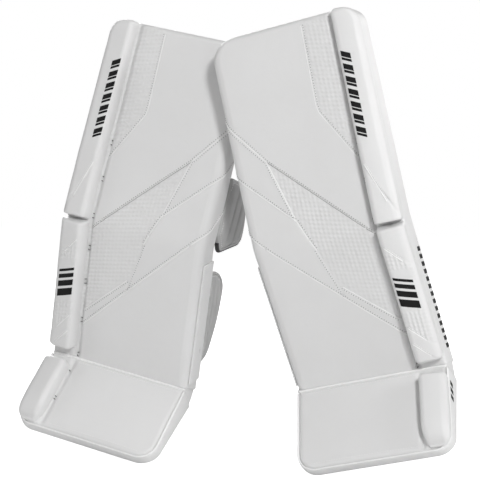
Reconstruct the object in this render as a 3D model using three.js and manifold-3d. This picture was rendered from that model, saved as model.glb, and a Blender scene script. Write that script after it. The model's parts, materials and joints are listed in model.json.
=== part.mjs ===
// A pair of ice hockey goaltender leg pads, standing on their inner toe corners and leaning together.
//
// Units are millimetres and +Z is up. The pads' striking faces look towards -Y, and the wearer's left
// pad stands at +X. The origin is the middle of the pair's bounding box, on the floor.
//
// A pad has three stiff sections: the thigh rise, the shin and the boot. They meet at the knee break
// and the ankle break, where the foam core flexes. Each section has its own frame: x runs from the
// inner edge (-) to the outer edge (+), y = 0 is the striking face with y growing towards the leg, and
// z runs up the section. The right pad is the left pad mirrored.

import * as THREE from "three";
import { mergeVertices } from "three/addons/utils/BufferGeometryUtils.js";
import Module from "manifold-3d";

const wasm = await Module();
wasm.setup();

const { degToRad } = THREE.MathUtils;

// ---------------------------------------------------------------- driving dimensions

const WIDTH = 279; // across the striking face, the rule book's 11 inches
const THIGH = 373; // knee break to the top edge
const SHIN = 273; // knee break to ankle break
const BOOT = 157; // ankle break to the toe edge
const CORE = 56; // thickness of the foam core
const CORE_TOP = 42; // thickness of the core at the top edge
const CORE_TOE = 24; // thickness of the boot core at the toe
const ROLL_WIDTH = 49; // outer roll, measured across the face
const ROLL_RISE = 31; // how far the roll stands in front of the face
const ROLL_RISE_TOP = 19; // the same at the top edge, where the roll thins
const KNEE_BEND = degToRad(18.2); // the shin runs back below the knee
const BOOT_SLOPE = degToRad(33.7); // the boot runs forward over the skate

const KNEE_FLEX = { forward: degToRad(6), back: degToRad(12) }; // room left at the knee break
const BOOT_STRAIGHTEN = degToRad(12); // room left at the ankle break

const GAP = 0.5; // air between pieces that rest on each other
const HALF = WIDTH / 2;
const SEAM = HALF - ROLL_WIDTH; // where the roll meets the face
const BOOT_BREAK = KNEE_BEND + BOOT_SLOPE; // angle between shin and boot

// How each pad stands: the place of its knee break, its sideways lean, its backward tilt and its turn.
const STANCE = {
  left: { knee: [191, -14], lean: degToRad(-13), tilt: degToRad(-0.2), turn: degToRad(2.5) },
  right: { knee: [-185, 6], lean: degToRad(11.9), tilt: degToRad(-8.5), turn: degToRad(1) },
};

// ---------------------------------------------------------------- materials

const finish = (color, roughness, metalness = 0) =>
  new THREE.MeshStandardMaterial({ color, roughness, metalness });

const MATERIALS = {
  faceSkin: finish(0xe6e6e6, 0.5),
  rollSkin: finish(0xececec, 0.45),
  wingSkin: finish(0xd8d8d8, 0.6),
  lining: finish(0x2a2b2e, 0.9),
  foamBlock: finish(0xdedede, 0.65),
  slidePanel: finish(0xf0f0f0, 0.35),
  rim: finish(0xe2e2e2, 0.5),
  board: finish(0xbfc4c8, 0.4),
  webbing: finish(0x1c1d1f, 0.85),
  moulding: finish(0x17181a, 0.4),
  cord: finish(0x202124, 0.8),
};

// ---------------------------------------------------------------- shape helpers

// A closed outline through [a, b] points; a third number rounds that corner by a radius.
function outline(points) {
  const shape = new THREE.Shape();
  const corner = points.map(([a, b]) => new THREE.Vector2(a, b));
  points.forEach(([, , radius = 0], i) => {
    const here = corner[i];
    const towards = (other) => other.clone().sub(here).setLength(radius).add(here);
    const enter = towards(corner.at(i - 1));
    const leave = towards(corner[(i + 1) % corner.length]);
    if (i === 0) shape.moveTo(enter.x, enter.y);
    else shape.lineTo(enter.x, enter.y);
    if (radius) shape.quadraticCurveTo(here.x, here.y, leave.x, leave.y);
  });
  shape.closePath();
  return shape;
}

// Extrudes a shape from 0 to depth, with its long edges rounded inside that size.
function extrude(shape, depth, round = 0, curveSegments = 4) {
  return new THREE.ExtrudeGeometry(shape, {
    depth: depth - 2 * round,
    curveSegments,
    bevelEnabled: round > 0,
    bevelSize: round,
    bevelThickness: round,
    bevelOffset: -round,
    bevelSegments: 2,
  }).translate(0, 0, round);
}

const SIDE_VIEW = new THREE.Matrix4().makeBasis(
  new THREE.Vector3(0, 1, 0),
  new THREE.Vector3(0, 0, 1),
  new THREE.Vector3(1, 0, 0),
);
const FRONT_VIEW = new THREE.Matrix4().makeBasis(
  new THREE.Vector3(1, 0, 0),
  new THREE.Vector3(0, 0, 1),
  new THREE.Vector3(0, -1, 0),
);

// A [y, z] side profile swept across the pad from x0 to x1.
const acrossX = (points, x0, x1, round) =>
  extrude(outline(points), x1 - x0, round).applyMatrix4(SIDE_VIEW).translate(x0, 0, 0);

// An [x, z] front outline swept through the depth from y0 to y1.
const throughY = (points, y0, y1, round) =>
  extrude(outline(points), y1 - y0, round).applyMatrix4(FRONT_VIEW).translate(0, y1, 0);

// An [x, y] cross-section swept up the section from z0 to z1.
const alongZ = (points, z0, z1, round) =>
  extrude(outline(points), z1 - z0, round).translate(0, 0, z0);

function toSolid(geometry) {
  const bare = new THREE.BufferGeometry().setAttribute("position", geometry.getAttribute("position"));
  const merged = mergeVertices(geometry.index ? bare.setIndex(geometry.index) : bare, 1e-3);
  return new wasm.Manifold(
    new wasm.Mesh({
      numProp: 3,
      vertProperties: new Float32Array(merged.attributes.position.array),
      triVerts: new Uint32Array(merged.index.array),
    }),
  );
}

function toGeometry(solid) {
  const { vertProperties, triVerts } = solid.getMesh();
  return new THREE.BufferGeometry()
    .setAttribute("position", new THREE.BufferAttribute(vertProperties, 3))
    .setIndex(new THREE.BufferAttribute(triVerts, 1));
}

// The space that all the geometries share.
const common = (first, ...rest) =>
  toGeometry(rest.reduce((solid, next) => solid.intersect(toSolid(next)), toSolid(first)));

// The first geometry with the others cut away.
const cut = (first, ...rest) =>
  toGeometry(rest.reduce((solid, next) => solid.subtract(toSolid(next)), toSolid(first)));

// ---------------------------------------------------------------- shared profiles

// The roll's cross-section: a flank beside the face, a ridge, and a front that falls away outwards.
const rollSection = (rise) => [
  [SEAM, -GAP],
  [SEAM + 3, -rise, 8],
  [HALF - 4, 9 - rise, 12],
  [HALF, -GAP],
];

const KNEE_HALF = KNEE_BEND / 2;
const ANKLE_HALF = BOOT_BREAK / 2;

// Height of the thigh's lower end at depth y. The break hinges on the face, y = 0, so a wedge stays
// open in front of it, between the rolls, and behind it, between the cores.
function thighEnd(y) {
  const flex = y < 0 ? KNEE_FLEX.forward : KNEE_FLEX.back;
  return y * Math.tan(KNEE_HALF) + Math.abs(y) * Math.tan(flex) + GAP;
}

const shinTop = (y) => -y * Math.tan(KNEE_HALF) - GAP;
const ankleWedge = Math.tan(ANKLE_HALF - BOOT_STRAIGHTEN / 2);
const shinBottom = (y) => -SHIN - y * ankleWedge + GAP;
const bootTop = (y) => y * ankleWedge - GAP;

// ---------------------------------------------------------------- thigh rise

const thighOutline = [
  [-HALF, -80],
  [HALF, -80],
  [HALF, THIGH, 34],
  [-HALF, THIGH, 46],
];

const thighBack = (z) => CORE - ((CORE - CORE_TOP) * z) / THIGH;

function thighCore() {
  const heel = thighEnd(CORE);
  const side = [
    [0, thighEnd(0)],
    [thighBack(heel), heel],
    [CORE_TOP, THIGH, 14],
    [0, THIGH, 14],
  ];
  return common(acrossX(side, -HALF, HALF), throughY(thighOutline, -1, CORE + 1));
}

function thighRoll() {
  const side = [
    [0, thighEnd(0)],
    [0, THIGH],
    [-ROLL_RISE_TOP, THIGH - 2, 16],
    [-ROLL_RISE, 120],
    [-ROLL_RISE, thighEnd(-ROLL_RISE), 7],
  ];
  return common(
    alongZ(rollSection(ROLL_RISE), -20, THIGH + 1),
    acrossX(side, SEAM - 1, HALF + 1),
    throughY(thighOutline, -ROLL_RISE - 1, 1),
  );
}

function thighLiner() {
  const low = thighEnd(CORE) + 4;
  const high = THIGH - 22;
  const side = [
    [thighBack(low) + GAP, low],
    [thighBack(low) + 4, low],
    [thighBack(high) + 4, high],
    [thighBack(high) + GAP, high],
  ];
  return acrossX(side, -HALF + 12, HALF - 12);
}

// ---------------------------------------------------------------- shin

function shinCore() {
  const side = [
    [0, shinTop(0)],
    [0, shinBottom(0)],
    [CORE, shinBottom(CORE)],
    [CORE, shinTop(CORE)],
  ];
  return acrossX(side, -HALF, HALF);
}

const ROLL_END = 20; // the rolls stop this far from the ankle break

function shinRoll() {
  const side = [
    [0, shinTop(0)],
    [-ROLL_RISE, shinTop(-ROLL_RISE), 7],
    [-ROLL_RISE, ROLL_END - SHIN, 8],
    [0, ROLL_END - SHIN],
  ];
  return common(
    alongZ(rollSection(ROLL_RISE), -SHIN, 20),
    acrossX(side, SEAM - 1, HALF + 1),
  );
}

const BOARD = 2.2; // thickness of the stiffening board
const LINER = 3.6;
const BOARD_BACK = CORE + GAP + BOARD;
const LINER_BACK = BOARD_BACK + GAP + LINER;

const shinStiffener = () =>
  throughY(
    [[-118, -250, 12], [118, -250, 12], [118, -22, 12], [-118, -22, 12]],
    CORE + GAP,
    BOARD_BACK,
  );

const shinLiner = () =>
  throughY(
    [[-131, -SHIN - 8, 14], [131, -SHIN - 8, 14], [131, -18, 14], [-131, -18, 14]],
    BOARD_BACK + GAP,
    LINER_BACK,
  );

const innerEdgePanel = () =>
  acrossX(
    [[10, -34, 8], [10, -SHIN, 8], [CORE - 3, -SHIN - 12, 8], [CORE - 3, -34, 8]],
    -HALF - 2.8,
    -HALF - GAP,
  );

const CALF_BLOCK_DEPTH = 34;

const calfBlock = () =>
  acrossX(
    [
      [LINER_BACK + GAP, -96],
      [LINER_BACK + GAP, -232],
      [LINER_BACK + 18, -232, 8],
      [LINER_BACK + CALF_BLOCK_DEPTH, -205, 14],
      [LINER_BACK + CALF_BLOCK_DEPTH, -114, 12],
      [LINER_BACK + 18, -96, 8],
    ],
    -116,
    -72,
    5,
  );

const KNEE_BLOCK_BASE = 22;
const KNEE_BLOCK_PAD = 20;

// A layer of the stack that the knee lands on, from one depth to another, its edges pulled in by inset.
const kneeBlockLayer = (y0, y1, inset) =>
  throughY(
    [
      [-114 + inset, -88 + inset, 14],
      [-34 - inset, -88 + inset, 14],
      [-34 - inset, -24 - inset, 14],
      [-114 + inset, -24 - inset, 14],
    ],
    y0,
    y1,
    4,
  );

// ---------------------------------------------------------------- boot

const bootBack = (z) => CORE + ((CORE - CORE_TOE) * z) / BOOT;
const RIM = 12; // height of the toe rim

const bootOutline = [
  [-HALF, 60],
  [-HALF, -BOOT, 34],
  [HALF, -BOOT, 30],
  [HALF, 60],
];

function bootCore() {
  const low = RIM - BOOT + GAP;
  const side = [
    [0, bootTop(0)],
    [0, low],
    [bootBack(low), low],
    [CORE, 0],
    [CORE, bootTop(CORE)],
  ];
  return common(acrossX(side, -HALF, HALF), throughY(bootOutline, -1, CORE + 1));
}

function bootRoll() {
  const low = RIM - BOOT + GAP;
  const side = [
    [0, -ROLL_END],
    [0, low],
    [-7, low, 3],
    [-ROLL_RISE, -BOOT * 0.68, 10],
    [-ROLL_RISE, -ROLL_END, 8],
  ];
  return common(
    alongZ(rollSection(ROLL_RISE), -BOOT, 0),
    acrossX(side, SEAM - 1, HALF + 1),
    throughY(bootOutline, -ROLL_RISE - 1, 1),
  );
}

function bootRim() {
  const side = [
    [-6, RIM - BOOT, 3],
    [-3, -BOOT, 5],
    [CORE_TOE + 3, -BOOT, 5],
    [CORE_TOE + 3, RIM - BOOT, 3],
  ];
  return common(acrossX(side, -HALF, HALF), throughY(bootOutline, -10, CORE));
}

const BOOT_WING_X = 110; // how far out the boot's side wings stand
const BOOT_WING_THICK = 9;

const bootWing = () =>
  acrossX(
    [
      [CORE + 1, 4],
      [bootBack(-104) + 2, -104],
      [70, -92, 14],
      [93, -40, 18],
      [88, 8, 16],
    ],
    0,
    BOOT_WING_THICK,
    3,
  );

const BRIDGE_Z = -128; // middle of the toe bridge
const BRIDGE_THICK = 6;
const TIE_RADIUS = 2.6;
const TIE_LOOP = 24;
const TIE_LIFT = Math.PI / 3;

// The two-slot bridge on the back of the toe, in a frame whose y = 0 is the core's sloping back.
function toeBridge() {
  const slot = (x0, x1) =>
    throughY([[x0, -4, 3], [x1, -4, 3], [x1, 4, 3], [x0, 4, 3]], -1, BRIDGE_THICK + 1);
  return cut(
    throughY([[-46, -16, 8], [46, -16, 8], [46, 16, 8], [-46, 16, 8]], GAP, BRIDGE_THICK, 1.5),
    slot(-32, -14),
    slot(14, 32),
  );
}

// The loop of lace that ties the toe to the skate, held up towards it. Its near side is its hinge line.
const toeTie = () =>
  new THREE.TorusGeometry(TIE_LOOP, TIE_RADIUS, 6, 20)
    .translate(0, TIE_LOOP, 0)
    .scale(1.25, 1, 1)
    .rotateX(TIE_LIFT);

// ---------------------------------------------------------------- wings, straps and ties

const WING_THICK = 12;

// A padded flap that stands back from its hinge line, which runs up the flap's outward side. Its
// outline is in [depth, height], and it fills x0 to x0 + WING_THICK.
const wing = (x0, outlinePoints) => acrossX(outlinePoints, x0, x0 + WING_THICK, 4);
const innerWing = (...outlinePoints) => wing(0, outlinePoints);
const outerWing = (...outlinePoints) => wing(-WING_THICK, outlinePoints);

const kneeWingInner = () =>
  innerWing([4, 30], [30, 2, 8], [128, 26, 16], [122, 76, 30], [74, 134, 26], [4, 138, 8]);

const kneeWingOuter = () => outerWing([4, 22], [70, 12, 16], [80, 60, 24], [56, 112, 20], [4, 116, 8]);

const calfWingInner = () =>
  innerWing([4, -64, 10], [4, -246, 10], [36, -238, 16], [66, -176, 30], [76, -104, 20], [44, -72, 16]);

const calfWingOuter = () =>
  outerWing([4, -60, 10], [4, -240, 10], [60, -226, 20], [84, -190, 18], [84, -96, 18], [60, -62, 18]);

// A strap that runs from its sewn end at [0, 0] to end = [x, y], bowed backwards by bow.
function strap(end, bow, width) {
  const thick = 3;
  const curve = new THREE.QuadraticBezierCurve(
    new THREE.Vector2(0, 0),
    new THREE.Vector2(end[0] / 2, end[1] / 2 + 2 * bow),
    new THREE.Vector2(...end),
  );
  const steps = 10;
  const edge = (side) =>
    Array.from({ length: steps + 1 }, (_, i) => {
      const tangent = curve.getTangent(i / steps);
      const point = curve.getPoint(i / steps);
      return [point.x - (tangent.y * side * thick) / 2, point.y + (tangent.x * side * thick) / 2];
    });
  return alongZ([...edge(1), ...edge(-1).reverse()], -width / 2, width / 2);
}

// A moulded ladder-lock buckle, flat on the strap's outside.
function clip(width) {
  const half = width / 2 + 5;
  const slot = (z0, z1) => throughY([[-9, z0], [9, z0], [9, z1], [-9, z1]], -1, 7);
  return cut(
    throughY([[-15, -half, 5], [15, -half, 5], [15, half, 5], [-15, half, 5]], 0, 6, 1.5),
    slot(4, half - 6),
    slot(6 - half, -4),
  );
}

// ---------------------------------------------------------------- assembly

function node(name, geometry, material, x = 0, y = 0, z = 0) {
  const mesh = new THREE.Mesh(geometry, material);
  mesh.name = name;
  mesh.position.set(x, y, z);
  return mesh;
}

// A moving group: its origin is a point on the hinge line.
function hinge(name, x, y, z, ...children) {
  const group = new THREE.Group();
  group.name = name + "_hinge";
  group.position.set(x, y, z);
  group.add(...children);
  return group;
}

// A strap with its buckle near the free end, hinged where it is sewn on.
function strapOnHinge(name, place, end, bow, width) {
  const buckleAt = [end[0] + 22, end[1] + 5.2 + bow * 0.36, 0];
  const buckle = node(name + "_clip", clip(width), MATERIALS.moulding, ...buckleAt);
  buckle.rotation.z = Math.atan2(end[1] - 2 * bow, end[0]) - Math.PI + Math.atan2(2 * bow, -end[0]) * 1.15;
  return hinge(name, ...place, node(name, strap(end, bow, width), MATERIALS.webbing), buckle);
}

function makePad(side) {
  const label = (name) => side + "_" + name;
  const m = MATERIALS;

  const kneeStrap = strapOnHinge(label("knee_strap"), [3, 78, 66], [-226, 22], 14, 50);
  const thigh = hinge(
    label("knee"), 0, 0, 0,
    node(label("thigh_core"), thighCore(), m.faceSkin),
    node(label("thigh_roll"), thighRoll(), m.rollSkin),
    node(label("thigh_liner"), thighLiner(), m.lining),
    hinge(label("knee_wing_inner"), -137, 63, 0, node(label("knee_wing_inner"), kneeWingInner(), m.wingSkin)),
    hinge(
      label("knee_wing_outer"), 104, 63, 0,
      node(label("knee_wing_outer"), kneeWingOuter(), m.wingSkin),
      kneeStrap,
    ),
  );

  const toe = new THREE.Group();
  toe.position.set(0, bootBack(BRIDGE_Z), BRIDGE_Z);
  toe.rotation.x = Math.atan((CORE_TOE - CORE) / BOOT);
  toe.add(
    node(label("toe_bridge"), toeBridge(), m.moulding),
    hinge(label("toe_tie"), 0, BRIDGE_THICK + GAP + TIE_RADIUS, 0, node(label("toe_tie"), toeTie(), m.cord)),
  );

  const bootWingMesh = (name, x) => node(label(name), bootWing(), m.wingSkin, x, 0, 0);
  const boot = hinge(
    label("ankle"), 0, 0, -SHIN,
    node(label("boot_core"), bootCore(), m.faceSkin),
    node(label("boot_roll"), bootRoll(), m.rollSkin),
    node(label("boot_rim"), bootRim(), m.rim),
    bootWingMesh("boot_wing_outer", BOOT_WING_X),
    bootWingMesh("boot_wing_inner", -BOOT_WING_X - BOOT_WING_THICK),
    toe,
    strapOnHinge(label("boot_strap"), [BOOT_WING_X + 4, 96, -38], [-214, -6], 16, 30),
  );
  boot.rotation.x = -BOOT_BREAK;

  const calfStrap = (name, z) => strapOnHinge(label(name), [1, 88, z], [-216, -12], 12, 38);
  const shin = new THREE.Group();
  shin.name = label("shin_frame");
  shin.rotation.x = KNEE_BEND;
  shin.add(
    node(label("shin_core"), shinCore(), m.faceSkin),
    node(label("shin_roll"), shinRoll(), m.rollSkin),
    node(label("shin_stiffener"), shinStiffener(), m.board),
    node(label("shin_liner"), shinLiner(), m.lining),
    node(label("inner_edge_panel"), innerEdgePanel(), m.slidePanel),
    node(label("calf_block"), calfBlock(), m.foamBlock),
    node(
      label("knee_block_base"),
      kneeBlockLayer(LINER_BACK + GAP, LINER_BACK + KNEE_BLOCK_BASE, 0),
      m.foamBlock,
    ),
    node(
      label("knee_block_pad"),
      kneeBlockLayer(LINER_BACK + KNEE_BLOCK_BASE + GAP, LINER_BACK + KNEE_BLOCK_BASE + KNEE_BLOCK_PAD, 3),
      m.lining,
    ),
    hinge(
      label("calf_wing_inner"), -134, LINER_BACK, 0,
      node(label("calf_wing_inner"), calfWingInner(), m.wingSkin),
    ),
    hinge(
      label("calf_wing_outer"), 111, LINER_BACK, 0,
      node(label("calf_wing_outer"), calfWingOuter(), m.wingSkin),
      calfStrap("calf_strap_upper", -112),
      calfStrap("calf_strap_lower", -186),
    ),
    boot,
  );

  const pad = new THREE.Group();
  pad.name = label("pad");
  pad.add(thigh, shin);
  return pad;
}

// Turns a pad to its stance and sets its lowest point on the floor.
function stand(pad, { knee, lean, tilt, turn }) {
  pad.rotation.set(tilt, lean, turn, "YXZ");
  pad.position.set(knee[0], knee[1], 0);
  pad.position.z = -new THREE.Box3().setFromObject(pad, true).min.z;
}

const pair = new THREE.Group();
for (const side of ["left", "right"]) {
  const pad = makePad(side);
  if (side === "right") pad.scale.x = -1;
  stand(pad, STANCE[side]);
  pair.add(pad);
}

const box = new THREE.Box3().setFromObject(pair, true);
const middle = box.getCenter(new THREE.Vector3());
pair.position.set(-middle.x, -middle.y, -box.min.z);

export default pair;
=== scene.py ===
"""The looks of a pair of hockey goaltender leg pads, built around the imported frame.

Each pad has three stiff sections: thigh, shin and boot. A section has its own frame, in millimetres:
x from the inner edge (-) to the outer edge (+), y back from the striking face, z up. The wearer's right
pad mirrors the left one, so every shape is made once in section coordinates and placed twice.
"""

import json
import math

import bmesh
import bpy
import numpy as np
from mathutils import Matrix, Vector
from mathutils.bvhtree import BVHTree


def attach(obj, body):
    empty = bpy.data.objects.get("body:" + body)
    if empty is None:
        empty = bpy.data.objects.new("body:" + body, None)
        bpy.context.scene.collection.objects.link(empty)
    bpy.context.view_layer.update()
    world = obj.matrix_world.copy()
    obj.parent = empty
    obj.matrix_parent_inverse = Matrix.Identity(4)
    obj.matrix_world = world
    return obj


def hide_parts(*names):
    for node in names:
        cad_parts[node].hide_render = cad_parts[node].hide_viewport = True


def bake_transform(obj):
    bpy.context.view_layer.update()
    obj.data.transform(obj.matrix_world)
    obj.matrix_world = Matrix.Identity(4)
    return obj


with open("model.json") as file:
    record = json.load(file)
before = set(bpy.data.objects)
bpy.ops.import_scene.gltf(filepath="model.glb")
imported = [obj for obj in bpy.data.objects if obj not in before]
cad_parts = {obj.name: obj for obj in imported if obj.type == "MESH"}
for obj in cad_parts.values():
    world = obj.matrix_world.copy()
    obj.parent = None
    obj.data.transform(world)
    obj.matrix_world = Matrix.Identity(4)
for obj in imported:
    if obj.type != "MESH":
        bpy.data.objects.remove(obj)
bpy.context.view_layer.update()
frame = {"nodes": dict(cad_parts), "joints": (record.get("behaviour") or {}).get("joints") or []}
joints = {joint["name"]: joint for joint in frame["joints"]}

MM = 0.001
SIDES = ("left", "right")


# ---------------------------------------------------------------- section frames


class Section:
    """One section's frame. It turns its own millimetres into the row frame's metres and back."""

    def __init__(self, origin, across, up, sign):
        self.origin = np.array(origin)
        x, z = np.array(across), np.array(up)
        self.axes = np.array([x, sign * np.cross(z, x), z])

    def to_row(self, points):
        return self.origin + np.asarray(points) * MM @ self.axes

    def from_row(self, points):
        return (np.asarray(points) - self.origin) @ self.axes.T / MM


def pad_sections(side):
    """The thigh, shin and boot frames of a pad, read from its joints."""
    sign = 1 if side == "left" else -1

    def axis(joint):
        return sign * np.array(joints[f"{side}_{joint}"]["axis"])

    knee, ankle = (joints[f"{side}_{name}_flex"]["pos_m"] for name in ("knee", "boot"))
    across = -axis("knee_flex")
    return {
        "thigh": Section(knee, across, axis("knee_wing_inner_open"), sign),
        "shin": Section(knee, across, axis("calf_wing_inner_open"), sign),
        "boot": Section(ankle, across, -axis("boot_strap_open"), sign),
    }


SECTIONS = {side: pad_sections(side) for side in SIDES}
LEFT = SECTIONS["left"]


def node_points(node, section):
    """The vertices of the left pad's CAD node, in a section's frame."""
    return LEFT[section].from_row([v.co for v in frame["nodes"]["left_" + node].data.vertices])


def extent(node, section):
    points = node_points(node, section)
    return points.min(0), points.max(0)


def joint_at(name, section):
    return LEFT[section].from_row(joints["left_" + name]["pos_m"])


def bend_between(first, second):
    return math.acos(np.dot(LEFT[first].axes[2], LEFT[second].axes[2]))


# ---------------------------------------------------------------- sizes, from the frame

core_high = extent("thigh_core", "thigh")[1]
roll_low = extent("thigh_roll", "thigh")[0]
rim_low, rim_high = extent("boot_rim", "boot")

HALF = core_high[0]  # half the width of the face
THIGH = core_high[2]  # from the knee break up to the top edge
SHIN = -joint_at("boot_flex", "shin")[2]  # from the knee break down to the ankle break
BOOT = -rim_low[2]  # from the ankle break down to the toe edge
CORE = extent("shin_core", "shin")[1][1]  # the core's thickness at the shin, the top and the toe
CORE_TOP = extent("thigh_liner", "thigh")[0][1]
CORE_TOE = rim_high[1] - 3
SEAM = roll_low[0]  # where the face ends and the outer roll begins
ROLL_RISE = -roll_low[1]  # how far the roll stands out in front of the face
ROLL_END = -extent("boot_roll", "boot")[1][2]  # from the ankle break to the rolls above and below it

KNEE_BEND = bend_between("thigh", "shin")
ANKLE_BEND = bend_between("shin", "boot")
KNEE_SOFT = 14.0  # how far the knee's curve reaches each side of the break

# ---------------------------------------------------------------- the sewn pattern of the face
# Points are (x, s): s runs up the face from the knee break, and down it where negative.

EDGE_HIGH, EDGE_MIDDLE, EDGE_LOW = ((-HALF, s) for s in (226, 131, 28))  # where seams cross the edge
FORK_HIGH = (-77, 147)  # the ends of the textured panel's inner edge
FORK_LOW = (-46, 36)
ELBOW = (-23, -20)
MEETING = (2, -118)  # where the two lower seams meet
STRIP_START = (0, -95)
BAND_TURN = [(31, 224), (33, 210)]  # where the textured band turns towards the roll

LINE_1 = [EDGE_HIGH, FORK_HIGH, (SEAM, -18)]
LINE_2 = [EDGE_MIDDLE, FORK_LOW, ELBOW, MEETING]
LINE_3 = [EDGE_LOW, MEETING, (SEAM, -208)]
TEXTURE_INNER = [FORK_HIGH, FORK_LOW]
TEXTURE_LOW = [STRIP_START, (SEAM, -178)]
BAND = [(34, THIGH), *BAND_TURN, (SEAM, 112)]

# The same lines followed round the inner edge, where x becomes the distance unrolled, and under the roll.
WRAP = 60
WRAPPED = -HALF - WRAP
UNDER = SEAM + 9
PANEL_UPPER = [FORK_HIGH, FORK_LOW, EDGE_MIDDLE, (WRAPPED, 192), (WRAPPED, 302), EDGE_HIGH]
PANEL_LOWER = [FORK_LOW, ELBOW, MEETING, EDGE_LOW, (WRAPPED, 90), (WRAPPED, 192), EDGE_MIDDLE]
TEXTURE = [FORK_HIGH, (UNDER, -27), (UNDER, -187), STRIP_START, ELBOW, FORK_LOW]
STRIP = [STRIP_START, (UNDER, -187), (UNDER, -217), MEETING]
BAND_AREA = [(34, THIGH + 9), *BAND_TURN, (UNDER, 103), (UNDER, THIGH + 9)]

CHANNEL_DEPTH = 6.0  # of the laced gutter between the face and the roll



def across_roll(inner, outer):
    """A seam across a roll, given by its heights just inside the roll and just outside it."""
    return [(SEAM - 2, inner), (HALF + 2, outer)]


ROLL_DIAGONAL = across_roll(112, 8)
ROLL_TEXTURE_TOP = across_roll(-27, -76)
STRIP_TOP = across_roll(-176, -227)
STRIP_LOW = across_roll(-206, -259)
PRINT_AT = (SEAM + 23, -114)  # middle of the bars printed on the shin roll


def path_distance(x, s, path):
    """Distance of each (x, s) from a path of straight stretches."""
    best = np.full(np.broadcast(x, s).shape, np.inf)
    for (ax, az), (bx, bz) in zip(path, path[1:]):
        dx, dz = bx - ax, bz - az
        t = np.clip(((x - ax) * dx + (s - az) * dz) / (dx * dx + dz * dz), 0, 1)
        best = np.minimum(best, np.hypot(x - ax - t * dx, s - az - t * dz))
    return best


def inside(x, s, corners):
    """True where (x, s) lies within a closed outline."""
    crossings = np.zeros(np.broadcast(x, s).shape, int)
    for (ax, az), (bx, bz) in zip(corners, corners[1:] + corners[:1]):
        if az == bz:
            continue
        spans = (az > s) != (bz > s)
        crossings += spans & (x < (bx - ax) * (s - az) / (bz - az) + ax)
    return crossings % 2 == 1


def area(x, s, corners):
    """1 within an outline and 0 outside it, with a soft edge."""
    soft = 1.6
    distance = path_distance(x, s, corners + corners[:1])
    signed = np.where(inside(x, s, corners), distance, -distance)
    t = np.clip(signed / soft * 0.5 + 0.5, 0, 1)
    return t * t * (3 - 2 * t)


def groove(x, s, path, depth):
    width = 1.5
    return -depth * np.exp(-((path_distance(x, s, path) / width) ** 2))


def gutter(x):
    """The laced gutter beside the roll, 0 to 1."""
    return np.exp(-(((x - SEAM + 2) / 4.5) ** 2))


def embossing(x, s):
    """Staggered raised lozenges, 0 to 1."""
    pitch, turn = 9.6, math.radians(38)
    p = x * math.cos(turn) + s * math.sin(turn)
    q = s * math.cos(turn) - x * math.sin(turn)
    wave = np.cos(2 * np.pi * p / pitch) * np.cos(2 * np.pi * q / (pitch * 1.25))
    return np.clip(wave, 0, 1) ** 0.65


def ripples(x, s, size, seed):
    """Gentle unevenness of leather over foam, about -1 to 1."""
    rng = np.random.default_rng(seed)
    waves, total = 6, 0
    for _ in range(waves):
        angle, phase = rng.uniform(0, 2 * np.pi, 2)
        wavelength = size * rng.uniform(0.6, 1.6)
        along = x * math.cos(angle) + s * math.sin(angle)
        total = total + np.sin(along * 2 * np.pi / wavelength + phase)
    return total / waves


def dome(share):
    """1 in the middle of a span and 0 at its ends."""
    return np.clip(1 - (2 * share - 1) ** 2, 0, 1)


def calm_ends(from_low, from_high, reach):
    """0 at the first and last station, and 1 further than reach from both."""
    return np.clip(np.minimum(from_low, from_high)[:, None] / reach, 0, 1)


def face_share(x):
    """How far across the face x is, 0 at the inner edge and 1 at the roll."""
    return np.clip((x + HALF) / (HALF + SEAM), 0, 1)


def face_relief(x, s):
    """How far the face's leather stands out, in millimetres."""
    texture = area(x, s, TEXTURE)
    band = area(x, s, BAND_AREA)
    height = 1.1 * area(x, s, PANEL_UPPER) + 0.6 * area(x, s, PANEL_LOWER) + 0.9 * area(x, s, STRIP)
    height = height - 0.9 * texture - 0.7 * band
    height = height + 1.6 * embossing(x, s) * np.maximum(texture, band)
    seams = (LINE_1, LINE_2, LINE_3, TEXTURE_INNER, TEXTURE_LOW, BAND)
    for path, depth in zip(seams, (0.9, 0.9, 0.9, 0.4, 0.5, 0.6)):
        height = height + groove(x, s, path, depth)
    return height - CHANNEL_DEPTH * gutter(x)


# ---------------------------------------------------------------- rings and lofts


def stack(*coordinates):
    return np.stack(coordinates, axis=-1)


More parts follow.
